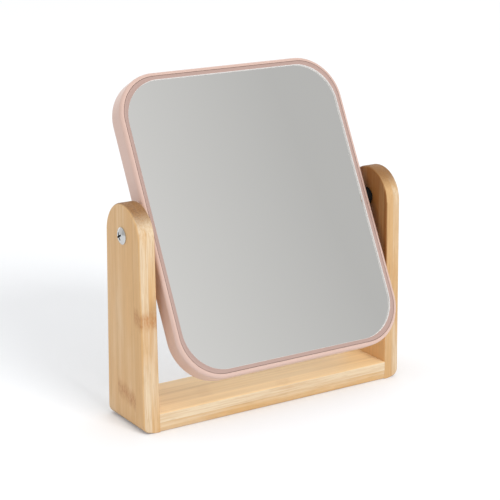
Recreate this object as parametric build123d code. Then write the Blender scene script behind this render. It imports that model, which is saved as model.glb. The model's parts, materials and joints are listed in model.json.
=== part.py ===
from build123d import *
import math
import os

# Swivel table mirror: a bamboo stand with two posts and a base board, and a
# moulded frame with a glass on each side, which turns on two screws.
# Millimetres. X runs across the posts, -Y is the front, +Z is up, and the
# origin is at the middle of the footprint, on the surface it stands on.

# Mirror, seen from the front
mirror_width = 169.3
mirror_height = 200.3
corner_radius = 30.0
rim_width = 5.2
lip_corner = 27.0
rest_tilt = 27.4

# Mirror, through its thickness
glass_recess = 1.3
glass_thickness = 1.8
tape_thickness = 0.8
web_thickness = 1.6
core_gap = 1.85
magnifier_radius = 1600.0

# Moulded frame
edge_bevel = 1.2
rim_wall = 2.5
seat_width = 4.4
groove_chamfer = 0.25
rib_height = 1.1
rib_thickness = 1.6
rib_spacing = 46.0

# Bezels
bezel_skirt = 1.05
bezel_outer_bevel = 0.3
bezel_lip_bevel = 0.45

# Mounting tape
tape_width = 3.0
tape_end_margin = 12.0

# Stand
side_gap = 3.95
post_thickness = 11.4
post_foot_depth = 48.5
post_head_depth = 43.5
pivot_drop = 20.5
base_thickness = 12.2
base_setback = 0.3
swing_clearance = 12.5
post_outer_bevel = 1.2
post_inner_bevel = 0.9
foot_round = 5.5
base_bevel = 0.7

# Dowels
dowel_diameter = 6.0
dowel_length = 30.0
dowel_in_post = 8.0
dowel_spacing = 26.0

# Pivot screws, spacers and inserts
screw_diameter = 4.0
head_diameter = 11.0
head_height = 2.3
head_rim = 0.55
recess_span = 4.4
recess_slot = 0.95
recess_depth = 1.5
spacer_diameter = 12.3
insert_flats = 6.2
insert_skin = 0.6
insert_end_wall = 0.3
insert_side_wall = 0.6

# Fits
running_fit = 0.06
thread_fit = 0.03
mould_fit = 0.03
glue_fit = 0.05
face_gap = 0.08
glass_fit = 0.1
bezel_fit = 0.15
screw_hole_fit = 0.2
dowel_end_gap = 0.5

# Mirror sizes that follow
pocket_inset = rim_wall + bezel_fit + bezel_skirt + glass_fit
glass_inset = pocket_inset + glass_fit
glass_width = mirror_width - 2 * glass_inset
glass_height = mirror_height - 2 * glass_inset
glass_corner = corner_radius - glass_inset
corner_reach = math.hypot(glass_width / 2 - glass_corner, glass_height / 2 - glass_corner) + glass_corner
dish_depth = magnifier_radius - math.sqrt(magnifier_radius**2 - corner_reach**2)
mirror_thickness = (
    2 * (glass_recess + glass_thickness) + tape_thickness + web_thickness + core_gap + dish_depth
)
half_thickness = mirror_thickness / 2
front_glass_face = -(half_thickness - glass_recess)
front_glass_back = front_glass_face + glass_thickness
front_seat = front_glass_back + tape_thickness
web_back = front_seat + web_thickness
dish_centre = half_thickness - glass_recess - dish_depth + magnifier_radius
insert_corner_radius = insert_flats / 2 / math.cos(math.pi / 6)
kerb_depth = insert_corner_radius + insert_side_wall
insert_length = pocket_inset - insert_skin - insert_end_wall

# Stand sizes that follow
post_inner_x = mirror_width / 2 + side_gap
post_outer_x = post_inner_x + post_thickness
pivot_height = base_thickness + swing_clearance + mirror_height / 2
post_height = pivot_height + pivot_drop
base_depth = post_foot_depth - 2 * base_setback
screw_radius = screw_diameter / 2
insert_outer_x = mirror_width / 2 - insert_skin
screw_tip_x = insert_outer_x - insert_length
head_seat_x = post_outer_x + face_gap


def rounded_slab(inset, corner, y_from, y_to):
    """Solid of a rounded rectangle, inset from the mirror's sides, between two depths."""
    outline = RectangleRounded(mirror_width - 2 * inset, mirror_height - 2 * inset, corner)
    plane = Plane(origin=(0, y_from, 0), x_dir=(1, 0, 0), z_dir=(0, 1, 0))
    return extrude(plane * outline, amount=y_to - y_from)


def slab(inset, y_from, y_to):
    """Solid of the mirror's outline, drawn in by inset, between two depths."""
    return rounded_slab(inset, corner_radius - inset, y_from, y_to)


def dish(extra):
    """Ball whose skin lies behind the magnifying face by extra."""
    return Pos(0, dish_centre, 0) * Sphere(magnifier_radius + extra)


def x_rod(radius, x_from, x_to):
    """Round rod on the pivot axis of the mirror's own frame."""
    return extrude(Plane.YZ.offset(x_from) * Circle(radius), amount=x_to - x_from)


def tilted(piece):
    """Moves a piece from the mirror's own frame to its rest pose on the stand."""
    return Pos(0, 0, pivot_height) * Rot(X=-rest_tilt) * piece


def both_sides(piece):
    """The piece on the right and its mirror image on the left."""
    return {"right": piece, "left": mirror(piece, about=Plane.YZ)}


def post_outline():
    """Side view of a post: straight tapered flanks, tangent to a half-round head."""
    foot = post_foot_depth / 2
    head = post_head_depth / 2
    centre = post_height - head
    lean = math.acos(head / math.hypot(foot, centre)) - math.atan2(centre, foot)
    touch = (head * math.cos(lean), centre + head * math.sin(lean))
    edge = Line((-foot, 0), (foot, 0))
    edge += Line((foot, 0), touch)
    edge += ThreePointArc(touch, (0, post_height), (-touch[0], touch[1]))
    edge += Line((-touch[0], touch[1]), (-foot, 0))
    return make_face(edge)


def dowel_places():
    """Heights and depths of the dowels at one end of the base board."""
    return [(y, base_thickness / 2) for y in (-dowel_spacing / 2, dowel_spacing / 2)]


def dowel_rods(radius, x_from, x_to):
    """A rod at each dowel place at the right end, between two values of X."""
    plane = Plane.YZ.offset(x_from)
    return [
        extrude(plane * Pos(y, z) * Circle(radius), amount=x_to - x_from) for y, z in dowel_places()
    ]


def right_post():
    """Right post with eased edges, its pivot hole and its dowel holes."""
    body = extrude(Plane.YZ.offset(post_inner_x) * post_outline(), amount=post_thickness)
    outer_face = body.faces().sort_by(Axis.X)[-1]
    body = fillet(outer_face.edges().sort_by(Axis.Z)[0], foot_round)
    outer_face = body.faces().filter_by(Plane.YZ).sort_by(Axis.X)[-1]
    body = chamfer(outer_face.edges().sort_by(Axis.Z)[1:], post_outer_bevel)
    inner_face = body.faces().filter_by(Plane.YZ).sort_by(Axis.X)[0]
    body = chamfer(inner_face.edges().sort_by(Axis.Z)[1:], post_inner_bevel)
    hole = x_rod(screw_radius + running_fit, post_inner_x, post_outer_x)
    body -= Pos(0, 0, pivot_height) * hole
    depth = dowel_in_post + dowel_end_gap
    for rod in dowel_rods(dowel_diameter / 2 + glue_fit, post_inner_x, post_inner_x + depth):
        body -= rod
    return body


def base_board():
    """Board between the posts, with dowel holes in both ends."""
    board = Pos(0, 0, base_thickness / 2) * Box(2 * post_inner_x, base_depth, base_thickness)
    board = chamfer(board.edges().filter_by(Axis.X), base_bevel)
    depth = dowel_length - dowel_in_post + dowel_end_gap
    for rod in dowel_rods(dowel_diameter / 2 + glue_fit, post_inner_x - depth, post_inner_x):
        board -= rod
        board -= mirror(rod, about=Plane.YZ)
    return board


def right_dowels():
    """The two dowels of the right foot."""
    start = post_inner_x - (dowel_length - dowel_in_post)
    return Part() + dowel_rods(dowel_diameter / 2, start, start + dowel_length)


def rim_face(body, side):
    """The flat face of a ring at the front (side -1) or at the back (side 1)."""
    return body.faces().filter_by(Plane.XZ).sort_by(Axis.Y)[0 if side < 0 else -1]


def mirror_frame():
    """Frame moulding: side band, centre web, seats for both glasses and pivot seats."""
    body = slab(0, -half_thickness, half_thickness)
    for side in (-1, 1):
        body = chamfer(rim_face(body, side).edges(), edge_bevel)
    for side in (-1, 1):
        body -= slab(rim_wall, side * kerb_depth, side * half_thickness)
        body = chamfer(rim_face(body, side).inner_wires()[0].edges(), groove_chamfer)
    body -= slab(pocket_inset, -kerb_depth, front_seat)
    body -= slab(pocket_inset, web_back, kerb_depth) & dish(glass_thickness + tape_thickness)
    body -= slab(pocket_inset + seat_width, web_back, kerb_depth)
    for rib in web_ribs():
        body += rib
    for side in (1, -1):
        body -= insert_cavity(side)
    return body


def web_ribs():
    """Low ribs on the back of the web, inside the rear seat."""
    inner = pocket_inset + seat_width
    span_x = mirror_width - 2 * inner
    span_z = mirror_height - 2 * inner
    y = web_back + rib_height / 2
    ribs = []
    for offset in (-rib_spacing, 0, rib_spacing):
        ribs.append(Pos(offset, y, 0) * Box(rib_thickness, rib_height, span_z))
        ribs.append(Pos(0, y, offset) * Box(span_x, rib_height, rib_thickness))
    return ribs


def hexagon_prism(flats, x_from, x_to):
    """Hexagonal prism on the pivot axis."""
    outline = RegularPolygon(flats / 2, 6, major_radius=False)
    return extrude(Plane.YZ.offset(x_from) * outline, amount=x_to - x_from)


def insert_cavity(side):
    """Cavity of the frame round one insert, with the hole that the screw enters by."""
    cavity = hexagon_prism(insert_flats + 2 * mould_fit, screw_tip_x, insert_outer_x)
    cavity += x_rod(screw_radius + screw_hole_fit, insert_outer_x, mirror_width / 2)
    return cavity if side > 0 else mirror(cavity, about=Plane.YZ)


def right_insert():
    """Hexagonal brass insert with its bore."""
    body = hexagon_prism(insert_flats, screw_tip_x, insert_outer_x)
    return body - x_rod(screw_radius + thread_fit, screw_tip_x, insert_outer_x)


def right_spacer():
    """Round spacer that fills the gap between the frame and the post."""
    start = mirror_width / 2
    body = x_rod(spacer_diameter / 2, start, start + side_gap - face_gap)
    return body - x_rod(screw_radius + screw_hole_fit, start, post_inner_x)


def right_screw():
    """Pivot screw: low domed head, cross recess and plain shank."""
    head = head_diameter / 2
    apex = head_seat_x + head_height
    rise = head_height - head_rim
    dome_radius = (head**2 + rise**2) / (2 * rise)
    dome = Pos(apex - dome_radius, 0, 0) * Rot(Z=90) * Sphere(dome_radius)
    body = x_rod(head, head_seat_x, apex + head_height) & dome
    body += x_rod(screw_radius, screw_tip_x, head_seat_x)
    cross = Rectangle(recess_span, recess_slot) + Rectangle(recess_slot, recess_span)
    recess = extrude(Plane.YZ.offset(apex - recess_depth) * cross, amount=recess_depth, taper=-12)
    return body - recess


def bezel_ring(side):
    """Ring of a bezel, with its face eased outside and sloped down to the glass inside."""
    face = side * half_thickness
    outer = rim_wall + bezel_fit
    opening = rounded_slab(rim_width, lip_corner, side * kerb_depth, face)
    ring = slab(outer, side * kerb_depth, face) - opening
    ring = chamfer(rim_face(ring, side).inner_wires()[0].edges(), bezel_lip_bevel)
    return chamfer(rim_face(ring, side).outer_wire().edges(), bezel_outer_bevel)


def front_bezel():
    """Ring that covers the edge of the front glass."""
    skirt = rim_wall + bezel_fit + bezel_skirt
    return bezel_ring(-1) - slab(skirt, front_glass_face - face_gap, 0)


def rear_bezel():
    """Ring that covers the edge of the dished rear glass and follows its curve."""
    skirt = rim_wall + bezel_fit + bezel_skirt
    lip = slab(glass_inset, 0, kerb_depth) - rounded_slab(rim_width, lip_corner, 0, kerb_depth)
    under = slab(skirt, 0, half_thickness) - dish(-face_gap)
    return bezel_ring(1) + lip - under


def front_glass():
    """Flat mirror glass."""
    return slab(glass_inset, front_glass_face, front_glass_back)


def rear_glass():
    """Dished mirror glass, the same thickness all over."""
    block = slab(glass_inset, 0, half_thickness)
    return (block & dish(glass_thickness)) - dish(0)


def tape_strips(y_from, y_to):
    """Four straight strips on the seat round a glass."""
    inset = pocket_inset + seat_width / 2
    x = mirror_width / 2 - inset
    z = mirror_height / 2 - inset
    y = (y_from + y_to) / 2
    long_x = 2 * (mirror_width / 2 - corner_radius - tape_end_margin)
    long_z = 2 * (mirror_height / 2 - corner_radius - tape_end_margin)
    thick = y_to - y_from
    strips = [Pos(0, y, side * z) * Box(long_x, thick, tape_width) for side in (-1, 1)]
    strips += [Pos(side * x, y, 0) * Box(tape_width, thick, long_z) for side in (-1, 1)]
    return strips


def front_tape():
    """Tape between the web and the front glass."""
    return Part() + tape_strips(front_glass_back, front_seat)


def rear_tape():
    """Tape between the curved seat and the rear glass."""
    shell = dish(glass_thickness + tape_thickness) - dish(glass_thickness)
    return Part() + [strip & shell for strip in tape_strips(web_back, half_thickness)]


def pieces():
    """Every piece by its name, where it lies on the mirror at rest."""
    made = {"base_board": base_board()}
    on_stand = {"post": right_post(), "dowels": right_dowels()}
    for name, piece in on_stand.items():
        for side, shape in both_sides(piece).items():
            made[f"{side}_{name}"] = shape
    on_axis = {"pivot_screw": right_screw(), "spacer": right_spacer(), "insert": right_insert()}
    for name, piece in on_axis.items():
        for side, shape in both_sides(piece).items():
            made[f"{side}_{name}"] = tilted(shape)
    made["mirror_frame"] = tilted(mirror_frame())
    made["front_bezel"] = tilted(front_bezel())
    made["rear_bezel"] = tilted(rear_bezel())
    made["front_glass"] = tilted(front_glass())
    made["rear_glass"] = tilted(rear_glass())
    made["front_glass_tape"] = tilted(front_tape())
    made["rear_glass_tape"] = tilted(rear_tape())
    return made


os.makedirs("parts", exist_ok=True)
for name, shape in pieces().items():
    export_step(shape, f"parts/{name}.step")
    print(name, "volume", round(shape.volume, 1))
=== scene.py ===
"""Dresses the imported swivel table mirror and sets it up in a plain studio.

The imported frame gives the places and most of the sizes. The stand's boards, the
moulded frame, the bezels, the curved glass, the screws and the spacers are
modelled here in more detail and stand for their CAD nodes. The flat glass and
the hidden pieces stay as they are and get their finishes.
"""

import json
import logging
import math
from collections.abc import Callable, Sequence
from dataclasses import dataclass, replace
from enum import Enum

import bmesh
import bpy
from mathutils import Matrix, Vector


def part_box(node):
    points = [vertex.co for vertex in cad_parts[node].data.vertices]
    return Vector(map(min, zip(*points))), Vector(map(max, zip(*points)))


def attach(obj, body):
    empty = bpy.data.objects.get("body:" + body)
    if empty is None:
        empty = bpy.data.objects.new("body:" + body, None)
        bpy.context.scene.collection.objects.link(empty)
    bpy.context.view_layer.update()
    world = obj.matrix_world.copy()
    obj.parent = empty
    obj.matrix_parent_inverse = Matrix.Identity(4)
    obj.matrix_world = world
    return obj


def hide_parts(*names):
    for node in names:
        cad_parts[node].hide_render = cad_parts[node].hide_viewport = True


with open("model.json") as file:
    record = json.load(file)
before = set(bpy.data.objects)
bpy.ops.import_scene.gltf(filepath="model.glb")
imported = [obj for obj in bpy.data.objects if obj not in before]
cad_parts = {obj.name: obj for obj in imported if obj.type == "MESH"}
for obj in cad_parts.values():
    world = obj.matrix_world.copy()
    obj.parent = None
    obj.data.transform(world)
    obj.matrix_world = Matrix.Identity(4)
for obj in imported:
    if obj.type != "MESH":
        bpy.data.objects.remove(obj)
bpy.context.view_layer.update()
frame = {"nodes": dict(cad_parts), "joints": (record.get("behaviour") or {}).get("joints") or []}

log = logging.getLogger("swivel_mirror")

MM = 0.001
REST_TILT = math.radians(27.4)
PIVOT = Vector(frame["joints"][0]["pos_m"])
TILT = Matrix.Translation(PIVOT) @ Matrix.Rotation(-REST_TILT, 4, "X")
SMOOTH_ANGLE = math.radians(32)
MERGE_GAP = 1e-6
SLIVER = 5e-6
FRONT = Vector((0, -1, 0))
BACK = Vector((0, 1, 0))
RIGHT = Vector((1, 0, 0))
LEFT = Vector((-1, 0, 0))
UP = Vector((0, 0, 1))

Object = bpy.types.Object
Material = bpy.types.Material
Node = bpy.types.Node
NodeTree = bpy.types.NodeTree
Socket = bpy.types.NodeSocket
Face = bmesh.types.BMFace
Edge = bmesh.types.BMEdge
Triple = tuple[float, float, float]
Path = Sequence[tuple[float, float]]


class Slot(Enum):
    """The record's material slots, which the log names for the new pieces."""

    BAMBOO = "bamboo"
    STEEL = "plated_steel"
    RUBBER = "black_rubber"
    PLASTIC = "pink_plastic"
    MIRROR = "mirror_glass"


class Body(Enum):
    """The two bodies of the CAD model."""

    STAND = "stand"
    MIRROR = "mirror"


def mirror_box(node: str) -> tuple[Vector, Vector]:
    """Measures a CAD node in the upright mirror's own frame.

    Args:
        node: Name of a node that turns with the mirror.

    Returns:
        Its lowest and highest corners, with the pivot at the origin.
    """
    upright = TILT.inverted()
    places = [upright @ vertex.co for vertex in frame["nodes"][node].data.vertices]
    low = Vector(min(place[axis] for place in places) for axis in range(3))
    high = Vector(max(place[axis] for place in places) for axis in range(3))
    return low, high


def eased(corners: Sequence[Triple], steps: int = 5) -> list[tuple[float, float]]:
    """Rounds the corners of a path.

    Args:
        corners: Inset, height and radius of each corner, where 0 keeps it sharp.
        steps: Straight pieces in each rounded corner.

    Returns:
        The points of the rounded path.
    """
    points = [Vector(corner[:2]) for corner in corners]
    path = [tuple(points[0])]
    for before, here, after, (_, _, radius) in zip(points, points[1:], points[2:], corners[1:]):
        if radius == 0:
            path.append(tuple(here))
            continue
        back = (before - here).normalized()
        ahead = (after - here).normalized()
        half = back.angle(ahead) / 2
        centre = here + (back + ahead).normalized() * radius / math.sin(half)
        start = here + back * radius / math.tan(half) - centre
        end = here + ahead * radius / math.tan(half) - centre
        for step in range(steps + 1):
            path.append(tuple(centre + radius * start.slerp(end, step / steps)))
    path.append(tuple(points[-1]))
    return path


class Blank:
    """A mesh on the bench, shaped in edit mode inside a with statement."""

    def __init__(self, name: str) -> None:
        """Takes over the primitive that was just added and names it.

        Args:
            name: Name of the piece and of its mesh.
        """
        self.piece = bpy.context.object
        self.piece.name = name
        self.piece.data.name = name
        bpy.ops.object.transform_apply(location=True, rotation=True, scale=True)

    @classmethod
    def sheet(cls, name: str, size: tuple[float, float], corner: float, depth: float) -> "Blank":
        """Makes a rounded rectangle that faces the front.

        Args:
            name: Name of the piece.
            size: Width and height.
            corner: Radius of its corners.
            depth: Its place along Y.

        Returns:
            The flat blank.
        """
        clear_selection()
        bpy.ops.mesh.primitive_plane_add(size=1, location=(0, depth, 0), rotation=(math.pi / 2, 0, 0))
        bpy.ops.transform.resize(value=(size[0], 1, size[1]))
        blank = cls(name)
        with blank:
            bpy.ops.mesh.select_all(action="SELECT")
            bpy.ops.mesh.bevel(offset=corner, segments=24, affect="VERTICES", clamp_overlap=False)
        return blank

    @classmethod
    def disc(cls, name: str, radius: float, place: Vector, sides: int = 64) -> "Blank":
        """Makes a disc that faces right.

        Args:
            name: Name of the piece.
            radius: Radius of the disc.
            place: Its centre.
            sides: Number of sides.

        Returns:
            The flat blank.
        """
        clear_selection()
        bpy.ops.mesh.primitive_circle_add(
            vertices=sides, radius=radius, fill_type="NGON", location=place, rotation=(0, math.pi / 2, 0)
        )
        return cls(name)

    @classmethod
    def rod(cls, radius: float, low: Vector, high: Vector, sides: int = 48) -> "Blank":
        """Makes a round or polygonal bar along X, for cutting.

        Args:
            radius: Radius to its corners.
            low: Centre of its left end.
            high: Centre of its right end.
            sides: Number of sides.

        Returns:
            The bar.
        """
        clear_selection()
        bpy.ops.mesh.primitive_cylinder_add(
            vertices=sides,
            radius=radius,
            depth=high.x - low.x,
            location=(low + high) / 2,
            rotation=(0, math.pi / 2, 0),
        )
        return cls("cutter")

    @classmethod
    def block(cls, name: str, low: Vector, high: Vector) -> "Blank":
        """Makes a block between two corners."""
        clear_selection()
        bpy.ops.mesh.primitive_cube_add(size=1, location=(low + high) / 2)
        bpy.ops.transform.resize(value=high - low)
        return cls(name)

    def __enter__(self) -> "Blank":
        """Opens the mesh in edit mode."""
        pick_only(self.piece)
        bpy.ops.object.mode_set(mode="EDIT")
        return self

    def __exit__(self, *_: object) -> None:
        """Goes back to object mode."""
        bpy.ops.object.mode_set(mode="OBJECT")

    def pick_faces(self, test: Callable[[Face], bool]) -> None:
        """Selects the faces that pass a test, and nothing else."""
        bpy.ops.mesh.select_mode(type="FACE")
        bpy.ops.mesh.select_all(action="DESELECT")
        shape = bmesh.from_edit_mesh(self.piece.data)
        for face in shape.faces:
            if test(face):
                face.select_set(True)
        bmesh.update_edit_mesh(self.piece.data)

    def pick_edges(self, test: Callable[[Edge], bool]) -> None:
        """Selects the edges that pass a test, and nothing else."""
        bpy.ops.mesh.select_mode(type="EDGE")
        bpy.ops.mesh.select_all(action="DESELECT")
        shape = bmesh.from_edit_mesh(self.piece.data)
        shape.normal_update()
        for edge in shape.edges:
            if test(edge):
                edge.select_set(True)
        bmesh.update_edit_mesh(self.piece.data)

    def thicken(self, shift: Vector) -> None:
        """Extrudes the whole flat blank into a solid.

        Args:
            shift: How far, and which way, the copied face moves.
        """
        bpy.ops.mesh.select_mode(type="FACE")
        bpy.ops.mesh.select_all(action="SELECT")
        bpy.ops.mesh.extrude_region_move(TRANSFORM_OT_translate={"value": shift})
        bpy.ops.mesh.select_all(action="SELECT")
        bpy.ops.mesh.normals_make_consistent(inside=False)

    def pick_end(self, way: Vector) -> None:
        """Selects the end face that looks a way."""
        self.pick_faces(lambda face: face.normal.dot(way) > 0.99 and len(face.verts) > 4)

    def walk(self, path: Path) -> None:
        """Carries the selected end face along a path.

        Args:
            path: Inset from the outline and height over the end face, point by point.
        """
        for (inset, height), (next_inset, next_height) in zip(path, path[1:]):
            thickness, depth = next_inset - inset, next_height - height
            if abs(thickness) + abs(depth) > MERGE_GAP:
                bpy.ops.mesh.inset(thickness=thickness, depth=depth)

    def close_ring(self, ways: Sequence[Vector], paths: Sequence[Path]) -> None:
        """Walks both ends until they meet, and opens the hole between them.

        Args:
            ways: The way that each end looks.
            paths: The path of each end. Both stop at the same place.
        """
        for way, path in zip(ways, paths):
            self.pick_end(way)
            self.walk(path)
            bpy.ops.mesh.delete(type="FACE")
        bpy.ops.mesh.select_all(action="SELECT")
        bpy.ops.mesh.remove_doubles(threshold=MERGE_GAP)
        bpy.ops.mesh.normals_make_consistent(inside=False)

    def slice_up(self, axis: int, pitch: float, reach: float) -> None:
        """Cuts the mesh across into even strips.

        Args:
            axis: Axis that the cuts stand on, 0 for X and 2 for Z.
            pitch: Distance between two cuts.
            reach: Half the size of the mesh along the axis.
        """
        normal = Vector((0, 0, 0))
        normal[axis] = 1
        count = math.ceil(reach / pitch)
        for step in range(-count + 1, count):
            bpy.ops.mesh.select_all(action="SELECT")
            bpy.ops.mesh.bisect(plane_co=normal * (step * reach / count), plane_no=normal)

    def press(self, level: float, depth: Callable[[Vector], float]) -> None:
        """Presses the face at one depth onto a curved surface.

        Args:
            level: Depth of the face's points before they move.
            depth: Depth of the curved surface at a point.
        """
        shape = bmesh.from_edit_mesh(self.piece.data)
        for vert in shape.verts:
            if abs(vert.co.y - level) < MERGE_GAP:
                vert.co.y = depth(vert.co)
        bmesh.update_edit_mesh(self.piece.data)

    def take_out(self, *cutters: "Blank") -> None:
        """Cuts other blanks out of the piece, and removes them.

        Args:
            *cutters: The blanks whose volume goes.
        """
        for cutter in cutters:
            pick_only(self.piece)
            change = self.piece.modifiers.new("cut", "BOOLEAN")
            change.operation = "DIFFERENCE"
            change.object = cutter.piece
            bpy.ops.object.modifier_apply(modifier=change.name)
            bpy.data.meshes.remove(cutter.piece.data)
        with self:
            bpy.ops.mesh.select_all(action="SELECT")
            bpy.ops.mesh.remove_doubles(threshold=SLIVER)
            bpy.ops.mesh.dissolve_degenerate(threshold=SLIVER)
            bpy.ops.mesh.fill_holes(sides=4)
            bpy.ops.mesh.normals_make_consistent(inside=False)

    def finish(self, place: Matrix | None = None) -> Object:
        """Puts the piece in its place and smooths its round faces.

        Args:
            place: Where the piece goes, or None where it was modelled in place.

        Returns:
            The finished object, which sits at the origin.
        """
        pick_only(self.piece)
        if place is not None:
            self.piece.matrix_world = place
            bpy.ops.object.transform_apply(location=True, rotation=True, scale=True)
        bpy.ops.object.shade_smooth_by_angle(angle=SMOOTH_ANGLE)
        return self.piece


def clear_selection() -> None:
    """Leaves nothing selected."""
    bpy.ops.object.select_all(action="DESELECT")


def pick_only(piece: Object) -> None:
    """Makes a piece the active one and the only one selected."""
    clear_selection()
    piece.select_set(True)
    bpy.context.view_layer.objects.active = piece


def mirrored(piece: Object, name: str) -> Object:
    """Copies a piece to the other side of the object.

    Args:
        piece: The finished piece on the right.
        name: Name of the copy.

    Returns:
        The copy on the left, with its own mesh.
    """
    pick_only(piece)
    bpy.ops.object.duplicate()
    copy = bpy.context.object
    copy.name = name
    copy.data.name = name
    copy.scale = (-1, 1, 1)
    bpy.ops.object.transform_apply(location=True, rotation=True, scale=True)
    bpy.ops.object.mode_set(mode="EDIT")
    bpy.ops.mesh.select_all(action="SELECT")
    bpy.ops.mesh.normals_make_consistent(inside=False)
    bpy.ops.object.mode_set(mode="OBJECT")
    return copy


def place_on(piece: Object, body: Body, slot: Slot, *nodes: str) -> None:
    """Attaches a new piece to the body that it rides on, and hides the nodes that it stands for.

    Args:
        piece: The finished piece.
        body: The body that it moves with.
        slot: The record's slot that the log names for it.
        *nodes: The CAD nodes that it replaces.
    """
    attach(piece, body.value)
    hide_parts(*nodes)
    log.info("%s on %s, %s, for %s", piece.name, body.value, slot.value, ", ".join(nodes))


def give(piece: Object, *materials: Material) -> None:
    """Gives a piece its materials, the first of them on every face."""
    piece.data.materials.clear()
    for material in materials:
        piece.data.materials.append(material)


class Graph:
    """Adds nodes to a node tree in few words."""

    def __init__(self, tree: NodeTree) -> None:
        """Keeps the tree that the nodes go into."""
        self.tree = tree

    def add(self, kind: str, inputs: dict | None = None, **settings: object) -> Node:
        """Adds a node.

        Args:
            kind: The node's type.
            inputs: A value, or an output socket to link, for each input.
            **settings: The node's own properties.

        Returns:
            The new node.
        """
        node = self.tree.nodes.new(kind)
        for key, value in settings.items():
            setattr(node, key, value)
        for key, value in (inputs or {}).items():
            if isinstance(value, Socket):
                self.tree.links.new(value, node.inputs[key])
            else:
                node.inputs[key].default_value = value
        return node

    def maths(self, operation: str, *values: object) -> Socket:
        """Adds a maths node and returns its result."""
        node = self.add("ShaderNodeMath", dict(enumerate(values)), operation=operation)
        return node.outputs[0]

    def ramp(self, value: Socket, low: float, high: float, to_low: float = 0, to_high: float = 1) -> Socket:
        """Maps one range of a value smoothly onto another."""
        inputs = {"Value": value, "From Min": low, "From Max": high, "To Min": to_low, "To Max": to_high}
        node = self.add("ShaderNodeMapRange", inputs, interpolation_type="SMOOTHSTEP")
        return node.outputs["Result"]

    def blend(self, share: object, low: object, high: object, mode: str = "MIX") -> Socket:
        """Mixes two colours."""
        node = self.add("ShaderNodeMix", {0: share, 6: low, 7: high}, data_type="RGBA", blend_type=mode)
        return node.outputs[2]

    def noise(self, vector: object, stretch: Triple, detail: float = 2) -> Socket:
        """Adds a noise with its own scale along each axis, in cycles per metre."""
        inputs = {"Vector": self.vector("MULTIPLY", vector, stretch), "Scale": 1.0, "Detail": detail}
        return self.add("ShaderNodeTexNoise", inputs).outputs["Fac"]

    def vector(self, operation: str, first: object, second: object, result: str = "Vector") -> Socket:
        """Adds a vector maths node and returns one of its results."""
        node = self.add("ShaderNodeVectorMath", {0: first, 1: second}, operation=operation)
        return node.outputs[result]

    def between(self, share: Socket, low: object, high: object) -> Socket:
        """Mixes two plain values."""
        return self.add("ShaderNodeMix", {0: share, 2: low, 3: high}, data_type="FLOAT").outputs[0]

    def bump(self, height: Socket, strength: float, distance: float) -> Socket:
        """Adds a bump node and returns its normal."""
        inputs = {"Height": height, "Strength": strength, "Distance": distance}
        return self.add("ShaderNodeBump", inputs).outputs[0]


def new_group(name: str, inputs: dict[str, str], outputs: dict[str, str]) -> tuple[Graph, dict, dict]:
    """Starts a shader node group.

    Args:
        name: The group's name.
        inputs: Socket type of each input.
        outputs: Socket type of each output.

    Returns:
        The group's graph, the sockets that give its inputs, and those that take its outputs.
    """
    tree = bpy.data.node_groups.new(name, "ShaderNodeTree")
    for key, kind in inputs.items():
        tree.interface.new_socket(key, in_out="INPUT", socket_type=kind)
    for key, kind in outputs.items():
        tree.interface.new_socket(key, in_out="OUTPUT", socket_type=kind)
    entry = tree.nodes.new("NodeGroupInput").outputs
    leave = tree.nodes.new("NodeGroupOutput").inputs
    return Graph(tree), entry, leave


FLOAT = "NodeSocketFloat"
COLOUR = "NodeSocketColor"
VECTOR = "NodeSocketVector"
BOARD_TRAITS = (
    "Seed",
    "Strip Width",
    "Strip Offset",
    "Knuckle",
    "Knuckle Depth",
    "Paleness",
    "Inner Tone And Shade",
    "Outer Tone And Light",
)


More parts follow.
